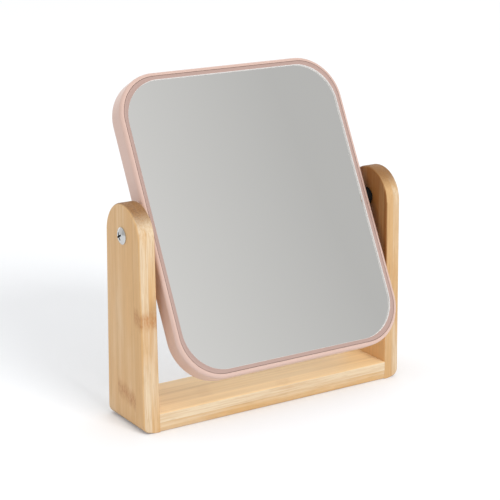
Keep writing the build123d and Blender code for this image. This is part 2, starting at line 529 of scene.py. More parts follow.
def bamboo_board_group() -> NodeTree:
    """Builds the look of a two-ply bamboo board.

    The fibres run along the group's Z, the strips lie side by side along Y, and the
    glue line between the plies is the plane X = 0. X is positive in the paler ply.

    Returns:
        The node group.
    """
    g, entry, leave = new_group(
        "bamboo_board",
        {
            "Vector": VECTOR,
            "End Grain": FLOAT,
            "Wide Face": FLOAT,
            "Wide Color": COLOUR,
            **dict.fromkeys(BOARD_TRAITS, FLOAT),
        },
        {"Color": COLOUR, "Roughness": FLOAT, "Height": FLOAT},
    )
    axes = g.add("ShaderNodeSeparateXYZ", {0: entry["Vector"]}).outputs
    ply = g.maths("GREATER_THAN", axes["X"], 0.0)
    across = g.maths("ADD", axes["Y"], entry["Strip Offset"])
    across = g.maths("ADD", across, g.maths("MULTIPLY", ply, 0.009))
    place = g.maths("DIVIDE", across, entry["Strip Width"])
    strip = g.maths("FLOOR", place)
    cell = g.add("ShaderNodeCombineXYZ", {0: strip, 1: ply, 2: entry["Seed"]}).outputs[0]
    chance = g.add("ShaderNodeTexWhiteNoise", {"Vector": cell}, noise_dimensions="3D").outputs
    shift = g.vector("ADD", chance["Color"], entry["Vector"])

    fibre = g.noise(shift, (1150, 1150, 26), 4)
    streak = g.noise(shift, (330, 330, 8), 5)
    drift = g.noise(shift, (60, 60, 16), 3)
    bundle = g.ramp(g.noise(shift, (1700, 1700, 105), 2), 0.54, 0.70)

    tone = g.maths("MULTIPLY_ADD", chance["Value"], 0.35, g.maths("MULTIPLY", ply, 0.35))
    tone = g.maths("ADD", tone, entry["Paleness"])
    tone = g.maths("MULTIPLY_ADD", entry["Wide Face"], -0.75, tone)
    tone = g.maths("ADD", tone, g.maths("MULTIPLY_ADD", streak, 1.4, -0.70))
    tone = g.maths("ADD", tone, g.maths("MULTIPLY_ADD", drift, 2.0, -1.00))
    golden = (0.642, 0.404, 0.186, 1)
    pale = (0.718, 0.580, 0.400, 1)
    colour = g.blend(g.ramp(tone, -0.2, 0.9), golden, pale)
    colour = g.blend(g.ramp(fibre, 0.35, 0.70, 0.0, 0.44), colour, (0.53, 0.300, 0.125, 1))
    colour = g.blend(g.maths("MULTIPLY", bundle, 0.26), colour, (0.38, 0.215, 0.085, 1))
    # Painted light and shade on the wide faces: each ply blends toward the wide colour, which paints the
    # shade on the right post's inner face, weaker near the foot, and the light on the base's top face.
    inner_tone_and_shade = g.maths("MULTIPLY", entry["Inner Tone And Shade"], g.ramp(axes["Z"], 0.02, 0.10, 0.70, 1.0))
    tan = g.between(ply, inner_tone_and_shade, entry["Outer Tone And Light"])
    streaked = g.maths("MULTIPLY_ADD", streak, 1.8, 0.1)
    tan = g.maths("MULTIPLY", g.maths("MULTIPLY", tan, entry["Wide Face"]), streaked)
    # Near the foot the inner ply takes a lighter amber instead, painted light below the painted shade higher
    # up.
    above_foot = g.maths("MAXIMUM", g.ramp(axes["Z"], 0.03, 0.09), ply)
    colour = g.blend(tan, colour, g.blend(above_foot, (0.86, 0.49, 0.205, 1), entry["Wide Color"]))

    rise = g.maths("SUBTRACT", axes["Z"], entry["Knuckle"])
    rise = g.maths("SUBTRACT", rise, g.maths("MULTIPLY", strip, 0.0525))
    rise = g.maths("ADD", rise, g.maths("MULTIPLY", ply, -0.001))
    rise = g.maths("ADD", rise, g.maths("MULTIPLY_ADD", g.maths("FRACT", place), 0.004, -0.002))
    rise = g.maths("ADD", rise, g.maths("MULTIPLY_ADD", streak, 0.010, -0.005))
    height = g.maths("WRAP", rise, 0.105, -0.105)
    band = g.ramp(g.maths("ABSOLUTE", height), 0.0015, 0.0080, 1.0, 0.0)
    speckle = g.ramp(g.noise(shift, (1300, 1300, 420), 5), 0.36, 0.68)
    knuckle = g.maths("MULTIPLY", band, g.maths("MULTIPLY_ADD", speckle, 0.50, 0.32))
    knuckle = g.maths("MULTIPLY", knuckle, entry["Knuckle Depth"])
    colour = g.blend(g.maths("MULTIPLY", knuckle, 0.72), colour, (0.47, 0.215, 0.075, 1))

    pores = g.ramp(g.noise(entry["Vector"], (1400, 1400, 1400), 2), 0.42, 0.62)
    end_tone = g.blend(pores, (0.29, 0.135, 0.044, 1), (0.19, 0.084, 0.027, 1))
    colour = g.blend(g.maths("MULTIPLY", entry["End Grain"], 0.88), colour, end_tone)

    seam = g.maths("ABSOLUTE", g.maths("SUBTRACT", g.maths("FRACT", g.maths("ADD", place, 0.5)), 0.5))
    seam = g.ramp(g.maths("MULTIPLY", seam, entry["Strip Width"]), 0.0, 0.00022, 1.0, 0.0)
    glue = g.ramp(g.maths("ABSOLUTE", axes["X"]), 0.0, 0.00016, 1.0, 0.0)
    line = g.maths("MAXIMUM", seam, glue)
    colour = g.blend(g.maths("MULTIPLY", line, 0.35), colour, (0.38, 0.21, 0.090, 1))

    rough = g.maths("MULTIPLY_ADD", fibre, 0.16, 0.38)
    rough = g.maths("MULTIPLY_ADD", entry["End Grain"], 0.16, rough)
    relief = g.maths("MULTIPLY_ADD", fibre, 0.5, g.maths("MULTIPLY", bundle, -0.35))
    relief = g.maths("MULTIPLY_ADD", line, -0.9, relief)
    g.tree.links.new(colour, leave["Color"])
    g.tree.links.new(rough, leave["Roughness"])
    g.tree.links.new(relief, leave["Height"])
    return g.tree


def fine_surface_group() -> NodeTree:
    """Builds the slight unevenness of a made surface, at two scales.

    Returns:
        The node group, which gives a tone near 1, and its coarse and its fine noise.
    """
    g, entry, leave = new_group(
        "fine_surface",
        {"Vector": VECTOR, "Stretch": VECTOR, "Cloud Scale": FLOAT, "Grain Scale": FLOAT, "Depth": FLOAT},
        {"Tone": FLOAT, "Cloud": FLOAT, "Grain": FLOAT},
    )
    place = g.vector("MULTIPLY", entry["Vector"], entry["Stretch"])
    cloud, grain = (
        g.add("ShaderNodeTexNoise", {"Vector": place, "Scale": entry[key], "Detail": detail}).outputs["Fac"]
        for key, detail in (("Cloud Scale", 3.0), ("Grain Scale", 2.0))
    )
    mixed = g.maths("MULTIPLY_ADD", grain, 0.35, g.maths("MULTIPLY", cloud, 0.65))
    tone = g.maths("MULTIPLY_ADD", g.maths("SUBTRACT", mixed, 0.5), entry["Depth"], 1.0)
    g.tree.links.new(tone, leave["Tone"])
    g.tree.links.new(cloud, leave["Cloud"])
    g.tree.links.new(grain, leave["Grain"])
    return g.tree


@dataclass(frozen=True)
class BoardFinish:
    """Lacquered bamboo on one board.

    Fields give the board's fibre direction as a turn of the pattern, the middle of
    its thickness, where its strips and knuckles lie, how pale it is, and how far
    the wide faces of its two plies take on a further colour, which holds painted
    shade on the right post's inner face and painted light on the base's top face.
    """

    name: str
    middle: Triple
    turn: Triple
    fibre: Triple
    thickness: Triple
    seed: float
    strip_width: float
    strip_offset: float
    knuckle: float
    knuckle_depth: float
    paleness: float
    # The wide colour and its share on each ply's wide faces carry painted shade and painted light as well as
    # tone; the default wide colour is a dark amber, painted shade.
    inner_tone_and_shade: float
    outer_tone_and_light: float
    wide_tone_light_shade: Triple = (0.300, 0.118, 0.028)
    tint: Triple = (1, 1, 1)
    coat: float = 0.05
    coat_roughness: float = 0.3
    specular: float = 0.22
    bump_strength: float = 0.25
    bump_distance: float = 0.12 * MM

    def build(self, group: NodeTree) -> Material:
        """Makes the material.

        Args:
            group: The bamboo node group.

        Returns:
            The finished material.
        """
        material, g, shader = new_material(self.name)
        shader.inputs["Coat Weight"].default_value = self.coat
        shader.inputs["Coat Roughness"].default_value = self.coat_roughness
        shader.inputs["Specular IOR Level"].default_value = self.specular
        coords = g.add("ShaderNodeTexCoord").outputs
        place = coords["Object"]
        for key, value in (("Location", self.middle), ("Rotation", self.turn)):
            place = g.add("ShaderNodeMapping", {"Vector": place, key: value}, vector_type="POINT").outputs[0]
        board = g.add("ShaderNodeGroup", node_tree=group)
        g.tree.links.new(place, board.inputs["Vector"])
        for key, axis in (("End Grain", self.fibre), ("Wide Face", self.thickness)):
            facing = g.vector("DOT_PRODUCT", coords["Normal"], axis, "Value")
            share = g.ramp(g.maths("ABSOLUTE", facing), 0.35, 0.90)
            g.tree.links.new(share, board.inputs[key])
        board.inputs["Wide Color"].default_value = (*self.wide_tone_light_shade, 1)
        traits = (self.seed, self.strip_width, self.strip_offset, self.knuckle, self.knuckle_depth)
        traits += (self.paleness, self.inner_tone_and_shade, self.outer_tone_and_light)
        for key, trait in zip(BOARD_TRAITS, traits):
            board.inputs[key].default_value = trait
        bump = g.bump(board.outputs["Height"], self.bump_strength, self.bump_distance)
        tinted = g.blend(1.0, board.outputs["Color"], (*self.tint, 1), "MULTIPLY")
        g.tree.links.new(tinted, shader.inputs["Base Color"])
        g.tree.links.new(board.outputs["Roughness"], shader.inputs["Roughness"])
        g.tree.links.new(bump, shader.inputs["Normal"])
        return material


@dataclass(frozen=True)
class MadeFinish:
    """A moulded, drawn, plated or polished surface in one colour with slight unevenness."""

    name: str
    colour: Triple
    roughness: float
    metallic: float = 0.0
    coat: float = 0.0
    coat_roughness: float = 0.2
    specular: float = 0.5
    stretch: Triple = (1, 1, 1)
    cloud_scale: float = 40.0
    grain_scale: float = 1500.0
    tone_depth: float = 0.12
    rough_depth: float = 0.08
    bump_strength: float = 0.1
    bump_distance: float = 0.05 * MM

    def build(self, group: NodeTree) -> Material:
        """Makes the material.

        Args:
            group: The fine surface node group.

        Returns:
            The finished material.
        """
        material, g, shader = new_material(self.name)
        shader.inputs["Metallic"].default_value = self.metallic
        shader.inputs["Coat Weight"].default_value = self.coat
        shader.inputs["Coat Roughness"].default_value = self.coat_roughness
        shader.inputs["Specular IOR Level"].default_value = self.specular
        surface = g.add("ShaderNodeGroup", node_tree=group)
        g.tree.links.new(g.add("ShaderNodeTexCoord").outputs["Object"], surface.inputs["Vector"])
        surface.inputs["Stretch"].default_value = self.stretch
        surface.inputs["Cloud Scale"].default_value = self.cloud_scale
        surface.inputs["Grain Scale"].default_value = self.grain_scale
        surface.inputs["Depth"].default_value = self.tone_depth
        colour = g.blend(1.0, (*self.colour, 1), surface.outputs["Tone"], "MULTIPLY")
        rough = g.maths("SUBTRACT", surface.outputs["Cloud"], 0.5)
        rough = g.maths("MULTIPLY_ADD", rough, self.rough_depth, self.roughness)
        bump = g.bump(surface.outputs["Grain"], self.bump_strength, self.bump_distance)
        g.tree.links.new(colour, shader.inputs["Base Color"])
        g.tree.links.new(rough, shader.inputs["Roughness"])
        g.tree.links.new(bump, shader.inputs["Normal"])
        return material


def new_material(name: str) -> tuple[Material, Graph, Node]:
    """Starts a material.

    Args:
        name: The material's name.

    Returns:
        The material, its graph and its Principled shader.
    """
    material = bpy.data.materials.new(name)
    material.use_nodes = True
    shader = material.node_tree.nodes["Principled BSDF"]
    return material, Graph(material.node_tree), shader


PINK_PLASTIC = MadeFinish(
    "satin_pink_plastic",
    colour=(0.640, 0.452, 0.384),
    roughness=0.34,
    metallic=0.14,
    cloud_scale=30,
    grain_scale=2600,
    tone_depth=0.06,
    rough_depth=0.10,
    bump_strength=0.10,
)
PINK_BEZEL = replace(
    PINK_PLASTIC,
    name="satin_pink_bezel",
    colour=(0.465, 0.322, 0.280),
    roughness=0.30,
    metallic=0.2,
    bump_strength=0.08,
)
# A near-white finish for the wall round each bezel's opening: a painted highlight.
PAINTED_HIGHLIGHT_LIP = MadeFinish(
    "painted_highlight_lip",
    colour=(0.970, 0.940, 0.920),
    roughness=0.30,
    cloud_scale=60,
    grain_scale=2600,
    tone_depth=0.03,
    rough_depth=0.06,
    bump_strength=0.04,
)
MIRROR_GLASS = MadeFinish(
    "silvered_glass",
    colour=(0.878, 0.874, 0.850),
    roughness=0.012,
    metallic=1.0,
    coat=0.5,
    coat_roughness=0.0,
    cloud_scale=18,
    grain_scale=900,
    tone_depth=0.012,
    rough_depth=0.016,
    bump_strength=0.0,
)
NICKEL = MadeFinish(
    "nickel_plate",
    colour=(0.570, 0.570, 0.560),
    roughness=0.14,
    metallic=1.0,
    cloud_scale=180,
    grain_scale=5000,
    tone_depth=0.15,
    rough_depth=0.14,
    bump_strength=0.08,
)
# A near-black finish for the screw's cross recess: painted shade.
SHADED_RECESS = MadeFinish(
    "painted_shade_recess",
    colour=(0.060, 0.062, 0.058),
    roughness=0.45,
    metallic=0.8,
    cloud_scale=300,
    grain_scale=5000,
    tone_depth=0.3,
    rough_depth=0.1,
    bump_strength=0.1,
)
BLACK_RUBBER = MadeFinish(
    "dull_rubber",
    colour=(0.007, 0.007, 0.007),
    roughness=0.62,
    specular=0.12,
    cloud_scale=120,
    grain_scale=4200,
    tone_depth=0.4,
    rough_depth=0.15,
    bump_strength=0.35,
)
TURNED_BRASS = MadeFinish(
    "turned_brass",
    colour=(0.600, 0.430, 0.180),
    roughness=0.28,
    metallic=1.0,
    stretch=(6, 1, 1),
    cloud_scale=90,
    grain_scale=2400,
    tone_depth=0.2,
    rough_depth=0.12,
    bump_strength=0.2,
)
FOAM_TAPE = MadeFinish(
    "pale_foam",
    colour=(0.700, 0.700, 0.680),
    roughness=0.85,
    cloud_scale=220,
    grain_scale=3200,
    tone_depth=0.25,
    rough_depth=0.1,
    bump_strength=0.6,
    bump_distance=0.0002,
)
DOWEL_WOOD = MadeFinish(
    "beech_dowel",
    colour=(0.560, 0.365, 0.215),
    roughness=0.6,
    stretch=(0.05, 1, 1),
    cloud_scale=900,
    grain_scale=3800,
    tone_depth=0.5,
    rough_depth=0.1,
    bump_strength=0.4,
)


@dataclass
class Stand:
    """Two bamboo posts, the base board between them, and the hidden dowels."""

    head_depth: float = 43.5 * MM
    foot_round: float = 5.5 * MM
    outer_edge: float = 1.7 * MM
    inner_edge: float = 1.3 * MM
    base_edge: float = 0.9 * MM
    hole_radius: float = 2.06 * MM
    dowel_hole: float = 3.05 * MM
    dowel_spacing: float = 26 * MM
    dowel_slack: float = 0.5 * MM

    def dowel_cutters(self, low_x: float, high_x: float) -> list[Blank]:
        """Makes the bars that bore a pair of dowel holes.

        Args:
            low_x: Left end of the holes.
            high_x: Right end of the holes.

        Returns:
            The two cutters.
        """
        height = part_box("base_board")[1].z / 2
        low, high = Vector((low_x, 0, height)), Vector((high_x, 0, height))
        shifts = (BACK * self.dowel_spacing / 2, FRONT * self.dowel_spacing / 2)
        return [Blank.rod(self.dowel_hole, low + shift, high + shift) for shift in shifts]

    def right_post(self) -> Object:
        """Models the right post, with its round head and foot and its holes."""
        low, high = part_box("right_post")
        radius = self.head_depth / 2
        centre = Vector((high.x, 0, high.z - radius))
        foot = high.y
        lean = math.acos(radius / math.hypot(foot, centre.z)) - math.atan2(centre.z, foot)
        touch_z = centre.z + radius * math.sin(lean)
        touch_y = radius * math.cos(lean)
        post = Blank.disc("bamboo_right_post", radius, centre, sides=96)
        with post:
            bpy.ops.mesh.select_all(action="SELECT")
            bpy.ops.mesh.bisect(plane_co=(0, 0, touch_z), plane_no=UP, clear_inner=True)
            post.pick_edges(lambda edge: all(abs(v.co.z - touch_z) < MERGE_GAP for v in edge.verts))
            bpy.ops.mesh.extrude_region_move(TRANSFORM_OT_translate={"value": (0, 0, -touch_z)})
            bpy.ops.transform.resize(value=(1, foot / touch_y, 1), center_override=(high.x, 0, 0))
            post.thicken(Vector((low.x - high.x, 0, 0)))
            bpy.ops.mesh.dissolve_limited(angle_limit=math.radians(0.1))
            outside = high.x - MERGE_GAP
            post.pick_edges(lambda edge: all(v.co.z < MERGE_GAP and v.co.x > outside for v in edge.verts))
            bpy.ops.mesh.bevel(offset=self.foot_round, segments=12)
            middle = (low.x + high.x) / 2
            self.ease_rim(post, lambda x: x > middle - MERGE_GAP, self.outer_edge)
            self.ease_rim(post, lambda x: x < low.x + MERGE_GAP, self.inner_edge)
            bpy.ops.mesh.select_all(action="SELECT")
            bpy.ops.mesh.dissolve_degenerate(threshold=SLIVER)
            post.pick_faces(lambda face: face.normal.z < -0.9999)
            bpy.ops.mesh.delete(type="FACE")
            post.pick_edges(lambda edge: edge.is_boundary)
            bpy.ops.mesh.edge_face_add()
        hole_low, hole_high = Vector((low.x - MM, 0, PIVOT.z)), Vector((high.x + MM, 0, PIVOT.z))
        dowel_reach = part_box("right_dowels")[1].x + self.dowel_slack
        screw_hole = Blank.rod(self.hole_radius, hole_low, hole_high)
        post.take_out(screw_hole, *self.dowel_cutters(low.x - MM, dowel_reach))
        return post.finish()

    @staticmethod
    def ease_rim(post: Blank, side: Callable[[float], bool], radius: float) -> None:
        """Rounds the rim of one face of a post, all but its bottom.

        Args:
            post: The post on the bench.
            side: Which values of X the rim has.
            radius: Radius of the rounding.
        """

        def wall(face: Face) -> bool:
            """Whether a face is part of the post's front, back or round head."""
            return abs(face.normal.x) < 0.001 and face.normal.z > -0.5

        def on_rim(edge: Edge) -> bool:
            """Whether an edge runs between such a face and the rim's own face."""
            walls = sum(wall(face) for face in edge.link_faces)
            return walls == 1 and all(side(vert.co.x) for vert in edge.verts)

        post.pick_edges(on_rim)
        bpy.ops.mesh.bevel(offset=radius, segments=6)

    def base(self) -> Object:
        """Models the base board, with eased long edges and its dowel holes."""
        low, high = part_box("base_board")
        board = Blank.block("bamboo_base", low, high)
        with board:
            board.pick_edges(lambda edge: abs(edge.verts[0].co.x - edge.verts[1].co.x) > MM)
            bpy.ops.mesh.bevel(offset=self.base_edge, segments=5)
        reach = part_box("right_dowels")[0].x - self.dowel_slack
        board.take_out(*self.dowel_cutters(reach, high.x + MM), *self.dowel_cutters(low.x - MM, -reach))
        return board.finish()

    def build(self, bamboo: NodeTree, fine: NodeTree) -> None:
        """Models and dresses the stand.

        Args:
            bamboo: The bamboo node group.
            fine: The fine surface node group.
        """
        right = self.right_post()
        left = mirrored(right, "bamboo_left_post")
        base = self.base()
        low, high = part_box("right_post")
        thick = (low.x + high.x) / 2
        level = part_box("base_board")[1].z / 2
        along, across = (1, 0, 0), (0, 0, 1)
        finishes = {
            left: BoardFinish(
                name="bamboo_left",
                middle=(thick, 0, 0),
                turn=(0, 0, math.pi),
                fibre=across,
                thickness=along,
                seed=3.0,
                strip_width=23.3 * MM,
                strip_offset=0.7 * MM,
                knuckle=20 * MM,
                knuckle_depth=1.4,
                paleness=0.22,
                inner_tone_and_shade=0.35,
                outer_tone_and_light=0.35,
                wide_tone_light_shade=(0.800, 0.500, 0.235),
                tint=(0.97, 0.96, 0.96),
            ),
            right: BoardFinish(
                name="bamboo_right",
                middle=(-thick, 0, 0),
                turn=(0, 0, 0),
                fibre=across,
                thickness=along,
                seed=8.0,
                strip_width=22 * MM,
                strip_offset=6 * MM,
                knuckle=96 * MM,
                knuckle_depth=0.6,
                paleness=-0.4,
                # Painted shade: the inner face beside the mirror takes the dark default wide colour almost
                # fully, darker higher up.
                inner_tone_and_shade=0.95,
                outer_tone_and_light=0.05,
                tint=(0.93, 0.93, 0.95),
            ),
            base: BoardFinish(
                name="bamboo_base",
                middle=(0, 0, -level),
                turn=(0, math.pi / 2, 0),
                fibre=along,
                thickness=across,
                seed=5.0,
                strip_width=19 * MM,
                strip_offset=4 * MM,
                knuckle=44 * MM,
                knuckle_depth=0.25,
                paleness=0.3,
                inner_tone_and_shade=0.0,
                # Painted light: a lighter golden colour on the base's top face, which lies in the mirror's
                # shade.
                outer_tone_and_light=0.75,
                wide_tone_light_shade=(0.930, 0.650, 0.350),
                tint=(1.00, 1.02, 1.04),
            ),
        }
        for piece, finish in finishes.items():
            give(piece, finish.build(bamboo))
        place_on(left, Body.STAND, Slot.BAMBOO, "left_post")
        place_on(right, Body.STAND, Slot.BAMBOO, "right_post")
        place_on(base, Body.STAND, Slot.BAMBOO, "base_board")
        dowel = DOWEL_WOOD.build(fine)
        for node in ("left_dowels", "right_dowels"):
            give(frame["nodes"][node], dowel)


@dataclass
class Moulding:
    """The mirror's moulded frame with its two bezels, and both glasses."""

    corner: float = 30 * MM
    edge: float = 2.35 * MM
    groove_edge: float = 0.1 * MM
    rim_wall: float = 2.5 * MM
    bezel_inset: float = 2.72 * MM
    lip_inset: float = 5.2 * MM
    lip_corner: float = 27 * MM
    skirt: float = 1.05 * MM
    seat_width: float = 4.4 * MM
    web: float = 1.6 * MM
    rib_height: float = 1.0 * MM
    rib_width: float = 1.6 * MM
    rib_spacing: float = 46 * MM
    crown_edge: float = 0.2 * MM
    lip_edge: float = 0.45 * MM
    lip_spare: float = 2.5 * MM
    opening_gap: float = 0.02 * MM
    cut_pitch: float = 8 * MM
    glass_pitch: float = 4 * MM
    dish_radius: float = 1.6
    glass_gap: float = 0.03 * MM
    pocket_gap: float = 0.1 * MM
    insert_gap: float = 0.035 * MM
    screw_hole: float = 2.2 * MM

    def __post_init__(self) -> None:
        """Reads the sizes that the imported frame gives."""
        rim = mirror_box("mirror_frame")[1]
        bezel = mirror_box("front_bezel")[1]
        glass_low, glass_high = mirror_box("front_glass")
        self.size = (2 * rim.x, 2 * rim.z)
        self.half = rim.y
        self.kerb = -bezel.y
        self.glass_inset = rim.x - glass_high.x
        self.glass_face = glass_low.y
        self.glass_thickness = glass_high.y - glass_low.y
        self.seat = mirror_box("front_glass_tape")[1].y
        self.tape = self.seat - glass_high.y
        straight = (side / 2 - self.corner for side in self.size)
        reach = math.hypot(*straight) + self.corner - self.glass_inset
        self.dish_centre = mirror_box("rear_glass")[1].y + math.sqrt(self.dish_radius**2 - reach**2)

    def outline(self, name: str, inset: float, depth: float) -> Blank:
        """Makes a sheet with the mirror's outline, drawn in by an inset."""
        size = (self.size[0] - 2 * inset, self.size[1] - 2 * inset)
        return Blank.sheet(name, size, self.corner - inset, depth)

    def dish(self, extra: float) -> Callable[[Vector], float]:
        """Gives the depth of a surface that lies in front of the curved face by extra."""
        ball = self.dish_radius + extra
        return lambda place: self.dish_centre - math.sqrt(ball**2 - place.x**2 - place.z**2)

    def curved_slab(self, name: str, inset: float, curves: dict[int, float], pitch: float) -> Blank:
        """Makes a slab with the mirror's outline, whose front or back is dished.

        Args:
            name: Name of the piece.
            inset: How far its outline is drawn in.
            curves: For a dished front, -1, or back, 1, how far it lies in front of the
                curved face.
            pitch: Distance between the cuts that let it bend.

        Returns:
            The slab.
        """
        reach = self.half + MM
        slab = self.outline(name, inset, -reach)
        with slab:
            slab.thicken(Vector((0, 2 * reach, 0)))
            slab.slice_up(0, pitch, self.size[0] / 2 - inset)
            slab.slice_up(2, pitch, self.size[1] / 2 - inset)
            for side, extra in curves.items():
                slab.press(side * reach, self.dish(extra))
        return slab

    def moulded_frame(self) -> Object:
        """Models the side band with the web, the seats and the pivot holes."""
        pocket = self.glass_inset - self.pocket_gap
        inner = pocket + self.seat_width
        rib_top = self.seat + self.web + self.rib_height
        wall = self.rim_wall
        corners = [(0, self.half / 2, 0), (0, self.half, self.edge), (wall, self.half, self.groove_edge)]
        rim = eased([*corners, (wall, self.kerb, 0)])
        body = self.outline("moulded_frame", 0, -self.half / 2)
        with body:
            body.thicken(Vector((0, self.half, 0)))
            body.pick_end(FRONT)
            body.walk([*rim, (pocket, self.kerb), (pocket, -self.seat)])
            body.pick_end(BACK)
            body.walk([*rim, (inner, self.kerb), (inner, rib_top)])
            self.press_ribs(body, rib_top)
        seat = self.curved_slab("seat_cut", pocket, {-1: self.glass_thickness + self.tape}, self.cut_pitch)
        body.take_out(seat, *self.pivot_cutters())
        return body.finish(TILT)

    def press_ribs(self, body: Blank, level: float) -> None:
        """Presses pockets into the web's back face, so that ribs stay between them.

        Args:
            body: The frame on the bench.
            level: Depth of the ribs' tops.
        """

        def on_web(face: Face) -> bool:
            """Whether a face is part of the web's back."""
            return face.normal.y > 0.99 and abs(face.calc_center_median().y - level) < MERGE_GAP

        for normal in (RIGHT, UP):
            for step in (-1, 0, 1):
                body.pick_faces(on_web)
                bpy.ops.mesh.bisect(plane_co=normal * step * self.rib_spacing, plane_no=normal)
        body.pick_faces(on_web)
        bpy.ops.mesh.inset(thickness=self.rib_width / 2, depth=-self.rib_height, use_individual=True)

    def pivot_cutters(self) -> list[Blank]:
        """Makes the cutters for the screw holes and the insert seats of both sides."""
        low, high = mirror_box("right_insert")
        radius = high.y + self.insert_gap
        outside = Vector((self.size[0] / 2 + MM, 0, 0))
        inner_end, outer_end = Vector((low.x, 0, 0)), Vector((high.x, 0, 0))
        middle = (inner_end + outer_end) / 2
        return [
            Blank.rod(radius, inner_end, outer_end, sides=6),
            Blank.rod(radius, -outer_end, -inner_end, sides=6),
            Blank.rod(self.screw_hole, middle, outside),
            Blank.rod(self.screw_hole, -outside, -middle),
        ]

    def bezel(self, name: str, side: int, plastic: Material, lip_highlight: Material) -> Object:
        """Models a bezel, a flat ring with an eased lip over the glass.

        Heights are taken from the kerb that it sits on, outwards.

        Args:
            name: Name of the piece.
            side: -1 for the front and 1 for the back.
            plastic: The finish of the ring.
            lip_highlight: The near-white finish of the wall round its opening, which paints a highlight
                there.

        Returns:
            The finished bezel.
        """
        crown = self.half - self.kerb
        stub = self.lip_inset - self.bezel_inset + self.lip_spare
        foot = self.glass_gap - self.glass_face - self.kerb
        if side > 0:
            middle = Vector((self.size[0] / 2 - self.lip_inset, 0, 0))
            foot = self.dish(0)(middle) - self.kerb - MM / 2
        top = eased([(0, crown / 2, 0), (0, crown, self.crown_edge), (stub, crown, 0), (stub, foot, 0)])
        under = [(0, 0), (self.skirt, 0), (self.skirt, -foot), (stub, -foot)]
        ways = (Vector((0, side, 0)), Vector((0, -side, 0)))
        ring = self.outline(name, self.bezel_inset, side * self.kerb)
        with ring:
            ring.thicken(Vector((0, side * crown / 2, 0)))
            ring.close_ring(ways, (top, under))
        ring.take_out(self.opening(side))
        if side > 0:
            inset = self.bezel_inset + self.skirt
            ring.take_out(self.curved_slab("lip_cut", inset, {1: -self.glass_gap}, self.cut_pitch))
        give(ring.piece, plastic, lip_highlight)
        self.paint_lip_highlight(ring)
        return ring.finish(TILT)

    @staticmethod
    def paint_lip_highlight(ring: Blank) -> None:
        """Puts the second, near-white finish on the wall round a ring's opening, a painted highlight."""

        def on_wall(face: Face) -> bool:
            """Whether a face stands upright and looks at the middle."""
            middle = face.calc_center_median()
            return abs(face.normal.y) < 0.75 and face.normal.x * middle.x + face.normal.z * middle.z < 0

        with ring:
            ring.pick_faces(on_wall)
            ring.piece.active_material_index = 1
            bpy.ops.object.material_slot_assign()

    def opening(self, side: int) -> Blank:
        """Makes the cutter of a bezel's opening, flared where the lip's edge is rounded.

        Args:
            side: -1 for the front and 1 for the back.

        Returns:
            The cutter.
        """
        inset = self.lip_inset - self.lip_edge
        size = (self.size[0] - 2 * inset, self.size[1] - 2 * inset)
        start = side * (self.half + self.opening_gap + 2 * MM)
        corners = [(0, 0, 0), (0, MM, 0), (self.lip_edge, MM, self.lip_edge), (self.lip_edge, self.half, 0)]
        cutter = Blank.sheet("opening", size, self.lip_corner + self.lip_edge, start)
        inward = Vector((0, -side, 0))
        with cutter:
            cutter.thicken(inward * MM)
            cutter.pick_end(inward)
            cutter.walk(eased(corners, steps=6))
        return cutter

    def build(self, fine: NodeTree) -> None:
        """Models and dresses the frame, the bezels and the glasses.

        Args:
            fine: The fine surface node group.
        """
        plastic = PINK_PLASTIC.build(fine)
        ringed = PINK_BEZEL.build(fine)
        lip_highlight = PAINTED_HIGHLIGHT_LIP.build(fine)
        silver = MIRROR_GLASS.build(fine)
        band = self.moulded_frame()
        give(band, plastic)
        moulded = {
            "mirror_frame": band,
            "front_bezel": self.bezel("crowned_front_bezel", -1, ringed, lip_highlight),
            "rear_bezel": self.bezel("crowned_rear_bezel", 1, ringed, lip_highlight),
        }
        for node, piece in moulded.items():
            place_on(piece, Body.MIRROR, Slot.PLASTIC, node)
        curves = {-1: self.glass_thickness, 1: 0.0}
        curved = self.curved_slab("curved_glass", self.glass_inset, curves, self.glass_pitch).finish(TILT)
        give(curved, silver)
        place_on(curved, Body.MIRROR, Slot.MIRROR, "rear_glass")
        give(frame["nodes"]["front_glass"], silver)
        tape = FOAM_TAPE.build(fine)
        for node in ("front_glass_tape", "rear_glass_tape"):
            give(frame["nodes"][node], tape)


